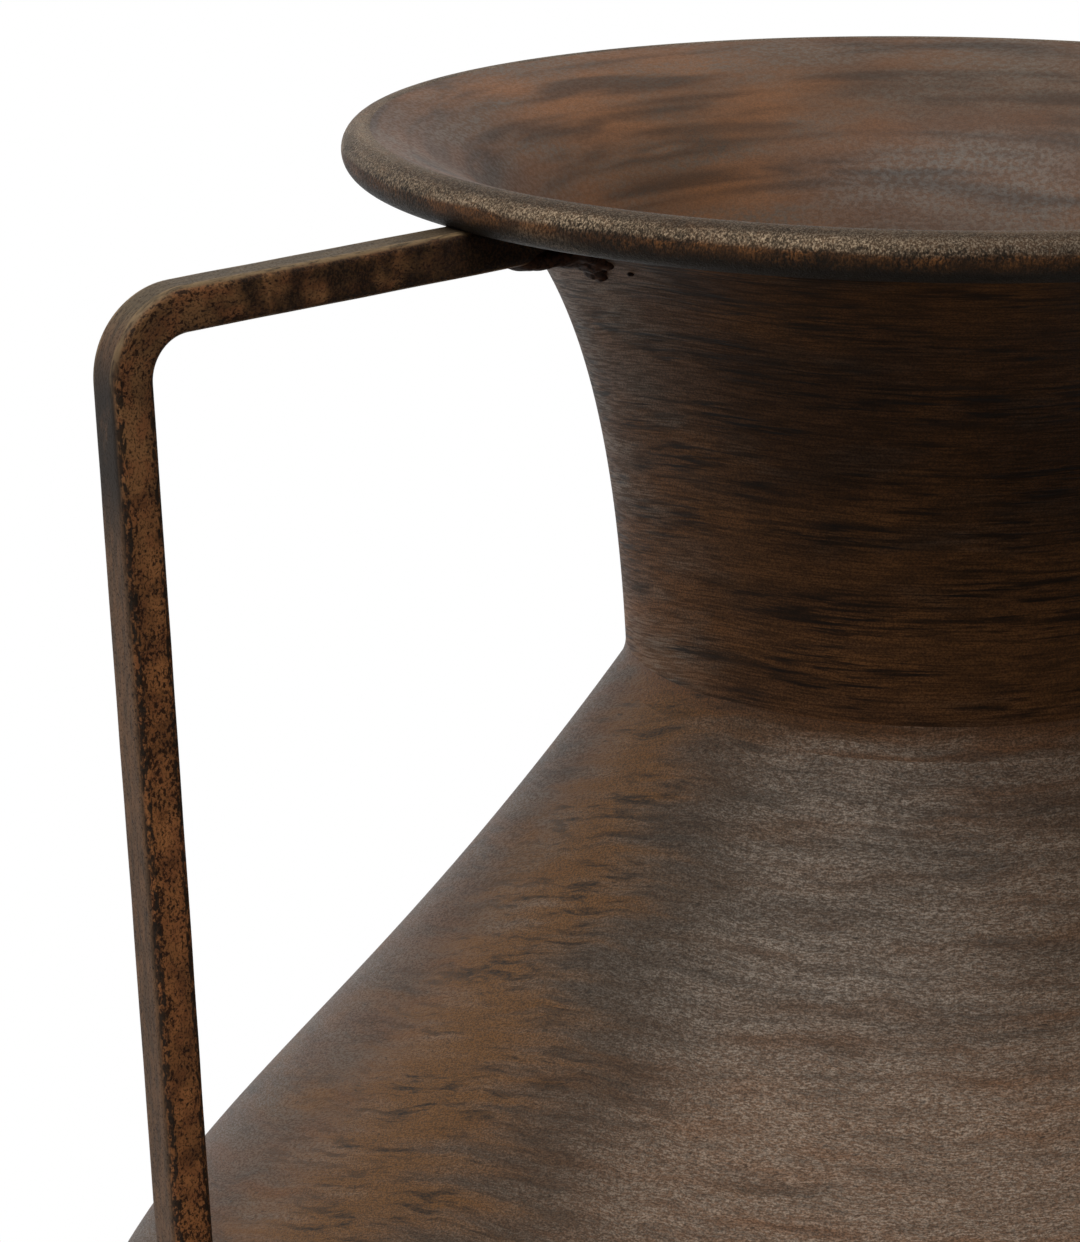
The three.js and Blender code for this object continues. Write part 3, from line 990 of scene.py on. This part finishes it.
bar_runs.insert(0, -END_RUN)
bar_runs.append(travelled + END_RUN)
noise.seed_set(UNEVEN_SEED)
vertices = []
marks = {"edge": [], "side": [], "run": []}
for row, run in zip(bar_rows, bar_runs):
    for point, (offset, nearness) in zip(row, section):
        sway = noise.noise_vector(point * UNEVEN_GRAIN) * UNEVEN
        vertices.append((point + sway) * MM)
        marks["edge"].append(nearness)
        marks["side"].append(offset.x)
        marks["run"].append(run)
around = len(section)
last = len(vertices) - around
faces = []
for low in range(0, last, around):
    high = low + around
    for step in range(around):
        after = (step + 1) % around
        faces.append((low + step, high + step, high + after, low + after))
faces.append(tuple(range(around)))
faces.append(tuple(reversed(range(last, len(vertices)))))
bar_mesh = smooth_mesh("bar_handle", vertices, faces, marks, BAR_SHARP)

# The bar's coat changes along it, over spans in mm from its upper end. Colours in pairs go by how crowded
# or how streaked a place is
LEG_BRIGHTENS = (62.0, 105.0)
LEG_BEGINS = (56.0, 66.0)
BEND_FADES = (75.0, 88.0)
WEAR_FADES = (58.0, 68.0)
SMOKE_THINS = (38.0, 58.0)
SMOKE_CLOSES = (10.0, 24.0)
# The next span is where the lip's painted shadow on the bar's top face fades out
LIP_SHADOW_FADES = (6.0, 17.0)
RED_DEPTH = 0.6
LIP_SHADOW_DEPTH = 0.85
SPOT_DEPTH = 0.92
WEAR_DEPTH = 0.75
EDGE_RAGGED = 0.16
SIDE_FACE = (0.45, 0.9)
LEVEL_FACE = (0.35, 0.85)
NEAR_SIDE = (0.3, 0.7)
SIDE_UNWORN = (0.55, 0.9)
NEAR_CORNER = (0.3, 1.0)
ON_CORNER = (0.9, 1.0)
DARK_CORNER = (1.02, 1.12)
BRIGHT_RUSTS = ((0.580, 0.234, 0.081, 1), (0.450, 0.178, 0.062, 1))
BROWN_RUSTS = ((0.390, 0.188, 0.076, 1), (0.275, 0.134, 0.055, 1))
RED_RUST = (0.330, 0.115, 0.046, 1)
GREY_BROWNS = ((0.225, 0.118, 0.060, 1), (0.125, 0.074, 0.042, 1))
OLIVES = ((0.150, 0.106, 0.060, 1), (0.092, 0.066, 0.038, 1))
SMOKE_BLACK = (0.017, 0.011, 0.007, 1)
# Near black for the lip's painted shadow on the bar's top face
LIP_SHADOW_BLACK = (0.024, 0.016, 0.011, 1)
SPOT_BROWN = (0.026, 0.012, 0.007, 1)
BEND_BROWN = (0.036, 0.025, 0.018, 1)
WORN_OCHRE = (0.290, 0.190, 0.095, 1)
bar_finish, tree = new_finish("bar patina")
across = node(tree, "ShaderNodeSeparateXYZ", {0: place_in_mm(tree)}).outputs[1]
edge = carried(tree, "edge")
run = carried(tree, "run")
lay = vector(tree, carried(tree, "side"), across, run)
normal = node(tree, "ShaderNodeNewGeometry").outputs["Normal"]
facing = node(tree, "ShaderNodeSeparateXYZ", {0: normal}).outputs
sideways = sums(tree, "ABSOLUTE", facing[1])
side_face = between(tree, sideways, *SIDE_FACE)
level_face = between(tree, facing[2], *LEVEL_FACE)


# Marks on the bar: their size across it and along it, how much they cover, and how soft they are
def bar_marks(wide, long, cover, soft, seed):
    values = {"Length": wide, "Width": long, "Cover": cover, "Edge": soft, "Seed": seed}
    return placed(tree, marks_effect, {"Lay": lay, **values})[0]


# Rust on the side faces, brown towards the neck and bright down the leg; grey-brown and olive on the others
crowded = bar_marks(wide=6.0, long=12.0, cover=0.5, soft=0.2, seed=4.0)
redder = bar_marks(wide=2.2, long=3.0, cover=0.45, soft=0.12, seed=33.0)
streaks = bar_marks(wide=0.8, long=4.0, cover=0.5, soft=0.16, seed=2.0)
down_leg = between(tree, run, *LEG_BRIGHTENS)
rusty = blend(tree, down_leg, blend(tree, crowded, *BROWN_RUSTS), blend(tree, crowded, *BRIGHT_RUSTS))
rusty = blend(tree, times(tree, redder, RED_DEPTH), rusty, RED_RUST)
plain = blend(tree, level_face, blend(tree, streaks, *GREY_BROWNS), blend(tree, streaks, *OLIVES))
layer = blend(tree, side_face, plain, rusty)

# Smoke from the weld, painted shadow of the lip on the bar's top face, umber patches, and dark blots and
# grains
dabs = bar_marks(wide=0.4, long=0.3, cover=0.5, soft=0.1, seed=8.0)
smoke_cover = between(tree, run, *SMOKE_THINS, 0.68, 0.12)
mottled = bar_marks(wide=4.0, long=3.2, cover=smoke_cover, soft=0.2, seed=6.0)
smoke = sums(tree, "MAXIMUM", mottled, falling(tree, run, SMOKE_CLOSES))
smoked = times(tree, smoke, eased(tree, dabs, 0.8, 0.98), side_face)
# The top face next to the neck is darkened as painted shadow of the lip
blackened = times(tree, falling(tree, run, LIP_SHADOW_FADES), level_face, LIP_SHADOW_DEPTH)
patches = bar_marks(wide=5.0, long=9.0, cover=0.4, soft=0.14, seed=27.0)
patches = times(tree, patches, eased(tree, side_face, 0.25, 0.4))
blot_cover = times(
    tree,
    between(tree, edge, *NEAR_CORNER, 0.35, 0.43),
    eased(tree, side_face, 0.5, 1.0),
    eased(tree, crowded, 0.8, 1.2),
    eased(tree, down_leg, 0.8, 1.0),
)
blots = bar_marks(wide=0.45, long=0.6, cover=blot_cover, soft=0.05, seed=9.0)
grains = bar_marks(wide=0.3, long=0.4, cover=0.4, soft=0.06, seed=14.0)
spots = sums(tree, "MAXIMUM", blots, times(tree, grains, eased(tree, side_face, 0.5, 0.7)))

# The leg's corners are dark in a ragged line, the bend is dark on its outer and inner faces, and the level
# bar's corners are worn
broken = bar_marks(wide=0.6, long=1.8, cover=0.5, soft=0.14, seed=17.0)
ragged_edge = sums(tree, "MULTIPLY_ADD", broken, EDGE_RAGGED, edge)
on_leg = between(tree, run, *LEG_BEGINS)
beside_edge = times(tree, between(tree, sideways, *NEAR_SIDE), on_leg)
corner = times(tree, between(tree, ragged_edge, *DARK_CORNER), beside_edge)
bend_marks = bar_marks(wide=2.0, long=4.0, cover=0.88, soft=0.2, seed=19.0)
round_bend = times(tree, on_leg, falling(tree, run, BEND_FADES), falling(tree, sideways, NEAR_SIDE))
wear_marks = bar_marks(wide=0.5, long=2.0, cover=0.55, soft=0.12, seed=23.0)
worn = times(tree, between(tree, edge, *ON_CORNER), falling(tree, sideways, SIDE_UNWORN))
worn = times(tree, worn, falling(tree, run, WEAR_FADES), wear_marks)
for share, colour in (
    (smoked, SMOKE_BLACK),
    (blackened, LIP_SHADOW_BLACK),
    (patches, UMBER),
    (times(tree, spots, SPOT_DEPTH), SPOT_BROWN),
    (times(tree, corner, SPOT_DEPTH), UMBER),
    (times(tree, round_bend, bend_marks), BEND_BROWN),
    (times(tree, worn, WEAR_DEPTH), WORN_OCHRE),
):
    layer = blend(tree, share, layer, colour)
pitted = sums(tree, "SUBTRACT", 1.0, spots)
painted(tree, layer, eased(tree, grains, 0.48, 0.62), specular=0.2, relief=pitted, depth=0.04)
bar_mesh.materials.append(bar_finish)
piece("bar_handle", bar_mesh, "handle")


# Handle welds
# Weld metal laid by hand round both ends of the bar. It is lumpy, has run down the neck below the bar,
# left a droplet beside it, and is painted a very dark red-brown.
WELD_VOXEL = 0.3
WELD_LUMPS = 0.22
WELD_BITE = 0.5
SOFTENING = 4
COARSE_GRAIN = 420
FINE_GRAIN = 1100
FINE_SHARE = 0.5
WELD_BROWNS = ((0.024, 0.010, 0.005, 1), (0.058, 0.021, 0.008, 1))
WELD_SOOT = (0.012, 0.006, 0.004, 1)
weld_finish, tree = new_finish("weld patina")
lay = place_in_mm(tree)
scale_marks = placed(tree, marks_effect, {"Lay": lay, "Length": 1.6, "Width": 1.2, "Edge": 0.15})[0]
blackened = placed(tree, marks_effect, {"Lay": lay, "Length": 0.6, "Width": 0.5, "Edge": 0.12, "Cover": 0.4})[0]
colour = blend(tree, blackened, blend(tree, scale_marks, *WELD_BROWNS), WELD_SOOT)
painted(tree, colour, eased(tree, blackened, 0.6, 0.8), specular=0.12, relief=scale_marks, depth=0.05)


# A weld of several lumps run together: each has a middle, half-lengths and a tilt about the Y axis. It
# bites into the sheet behind it, but not through
def weld(name, lumps, node_name, sheet_wall):
    shape = bmesh.new()
    for middle, halves, tilt in lumps:
        pose = Matrix.Translation(Vector(middle) * MM) @ Matrix.Rotation(math.radians(tilt), 4, "Y")
        pose = pose @ Matrix.Diagonal(Vector(halves).to_4d())
        bmesh.ops.create_icosphere(shape, subdivisions=3, radius=MM, matrix=pose)
    mesh = bpy.data.meshes.new(name)
    shape.to_mesh(mesh)
    shape.free()
    made = piece(name, mesh, node_name)
    remesh = made.modifiers.new("run together", "REMESH")
    remesh.mode = "VOXEL"
    remesh.voxel_size = WELD_VOXEL * MM
    soften = made.modifiers.new("soften", "SMOOTH")
    soften.iterations = SOFTENING
    fused = bpy.data.meshes.new_from_object(made.evaluated_get(bpy.context.evaluated_depsgraph_get()))
    made.modifiers.clear()
    made.data = fused
    fused.name = name
    for vertex in fused.vertices:
        lumpy = noise.noise(vertex.co * COARSE_GRAIN) + FINE_SHARE * noise.noise(vertex.co * FINE_GRAIN)
        vertex.co += vertex.normal * lumpy * WELD_LUMPS * MM
        reach = math.hypot(vertex.co.x, vertex.co.y)
        least = (radius_at(sheet_wall, vertex.co.z / MM) - WELD_BITE) * MM
        if reach < least:
            vertex.co.x *= least / reach
            vertex.co.y *= least / reach
    fused.shade_smooth()
    fused.materials.clear()
    fused.materials.append(weld_finish)
    fused.update()


weld(
    "upper_weld",
    [
        ((-66.0, 0.0, 339.2), (7.6, 3.9, 2.1), -4.0),
        ((-63.0, 1.0, 338.8), (4.0, 4.0, 2.2), 12.0),
        ((-61.6, -3.0, 340.0), (3.6, 1.5, 2.4), 20.0),
        ((-61.6, 3.2, 340.0), (3.6, 1.5, 2.4), 20.0),
        ((-59.4, 0.6, 337.6), (1.7, 4.6, 2.0), 40.0),
        ((-58.0, 0.2, 336.0), (0.8, 2.6, 1.5), 40.0),
        ((-57.2, 0.0, 335.1), (0.6, 1.4, 1.1), 40.0),
        ((-58.9, -3.2, 337.4), (0.9, 1.7, 1.1), 40.0),
        ((-57.9, 5.6, 336.4), (0.7, 3.0, 0.9), 40.0),
        ((-58.1, -7.5, 336.6), (0.35, 0.8, 0.55), 40.0),
    ],
    "handle_upper_weld",
    neck_outside,
)
weld(
    "lower_weld",
    [
        ((-122.3, 0.0, 169.3), (8.8, 3.9, 2.3), -62.0),
        ((-120.9, -2.9, 171.6), (7.6, 1.5, 2.0), -62.0),
        ((-120.9, 2.9, 171.6), (7.6, 1.5, 2.0), -62.0),
        ((-117.6, 0.0, 177.6), (2.2, 3.3, 1.5), -62.0),
    ],
    "handle_lower_weld",
    shoulder_outside,
)


# Studio
# A plain pale floor, a wide soft light overhead and a pale backdrop behind; the room in front of the
# vase, behind the camera, is dim. The camera stands where the photograph was taken.
FLOOR_RADIUS = 0.42
FLOOR_HEIGHT = -0.00005
FLOOR_SIDES = 96
FLOOR_GLOW = 0.8
PALE = (0.5, 0.5, 0.5, 1)
WHITE = (1, 1, 1, 1)
ROOM_BRIGHTEST = (-0.234, 0.936, 0.262)
ROOM_DARK = -0.7
ROOM_LEVEL = 0.68
VIEW_LINE = (0.5561, 0.7833, -0.2780)
BACKDROP_RISES = (0.75, 0.97)
LAMP_LENGTH = 1.8
LAMP_WIDTH = 0.6
LAMP_POWER = 10.2
LAMP_PLACE = (-0.482, -0.358, 1.319)
LAMP_TARGET = (0, 0, 0.28)
LENS = 126.01
SENSOR = 36.0
NEAREST = 0.01
CAMERA_PLACE = (-0.3912, -0.4562, 0.45105)
CAMERA_TILT = 73.86
CAMERA_TURN = -35.37


# Whether light goes straight to the camera, and whether it comes by way of metal or glass
def ways_seen(tree):
    path = node(tree, "ShaderNodeLightPath").outputs
    mirrored = sums(tree, "MAXIMUM", path["Is Glossy Ray"], path["Is Transmission Ray"])
    return path["Is Camera Ray"], mirrored


def along_line(tree, direction, line):
    made = node(tree, "ShaderNodeVectorMath", {0: direction, 1: line}, operation="DOT_PRODUCT")
    return made.outputs["Value"]


floor_mesh = bpy.data.meshes.new("floor")
ring = []
for turn in range(FLOOR_SIDES):
    angle = 2 * math.pi * turn / FLOOR_SIDES
    ring.append((FLOOR_RADIUS * math.cos(angle), FLOOR_RADIUS * math.sin(angle), FLOOR_HEIGHT))
floor_mesh.from_pydata(ring, [], [tuple(range(FLOOR_SIDES))])
floor = bpy.data.objects.new("floor", floor_mesh)
scene.collection.objects.link(floor)
floor_finish, tree = new_finish("pale floor")
straight, mirrored = ways_seen(tree)
seen = sums(tree, "MAXIMUM", straight, mirrored)
matt = node(tree, "ShaderNodeBsdfDiffuse", {"Color": PALE}).outputs[0]
glow = node(tree, "ShaderNodeEmission", {"Strength": times(tree, seen, FLOOR_GLOW)}).outputs[0]
lit = node(tree, "ShaderNodeAddShader", {0: matt, 1: glow}).outputs[0]
node(tree, "ShaderNodeOutputMaterial", {"Surface": lit})
floor_mesh.materials.append(floor_finish)

world = bpy.data.worlds.new("studio")
scene.world = world
world.use_nodes = True
tree = world.node_tree
tree.nodes.clear()
direction = node(tree, "ShaderNodeTexCoord").outputs["Generated"]
behind = along_line(tree, direction, ROOM_BRIGHTEST)
room = node(tree, "ShaderNodeMapRange", {0: behind, 1: ROOM_DARK, 2: 1.0, 3: 0.0, 4: ROOM_LEVEL}).outputs[0]
straight, mirrored = ways_seen(tree)
ahead = between(tree, along_line(tree, direction, VIEW_LINE), *BACKDROP_RISES)
seen = sums(tree, "MAXIMUM", straight, times(tree, mirrored, ahead))
level = sums(tree, "MAXIMUM", seen, room)
sky = node(tree, "ShaderNodeBackground", {"Color": WHITE, "Strength": level}).outputs[0]
node(tree, "ShaderNodeOutputWorld", {"Surface": sky})

lamp = bpy.data.lights.new("overhead", "AREA")
lamp.shape = "RECTANGLE"
lamp.size = LAMP_LENGTH
lamp.size_y = LAMP_WIDTH
lamp.energy = LAMP_POWER
overhead = bpy.data.objects.new("overhead", lamp)
overhead.location = LAMP_PLACE
aim = Vector(LAMP_TARGET) - overhead.location
overhead.rotation_euler = aim.to_track_quat("-Z", "Y").to_euler()
overhead.visible_camera = False
scene.collection.objects.link(overhead)

camera = bpy.data.cameras.new("camera")
camera.sensor_width = SENSOR
camera.lens = LENS
camera.clip_start = NEAREST
viewer = bpy.data.objects.new("camera", camera)
viewer.location = CAMERA_PLACE
viewer.rotation_euler = (math.radians(CAMERA_TILT), 0.0, math.radians(CAMERA_TURN))
scene.collection.objects.link(viewer)
scene.camera = viewer
scene.view_settings.view_transform = "Standard"
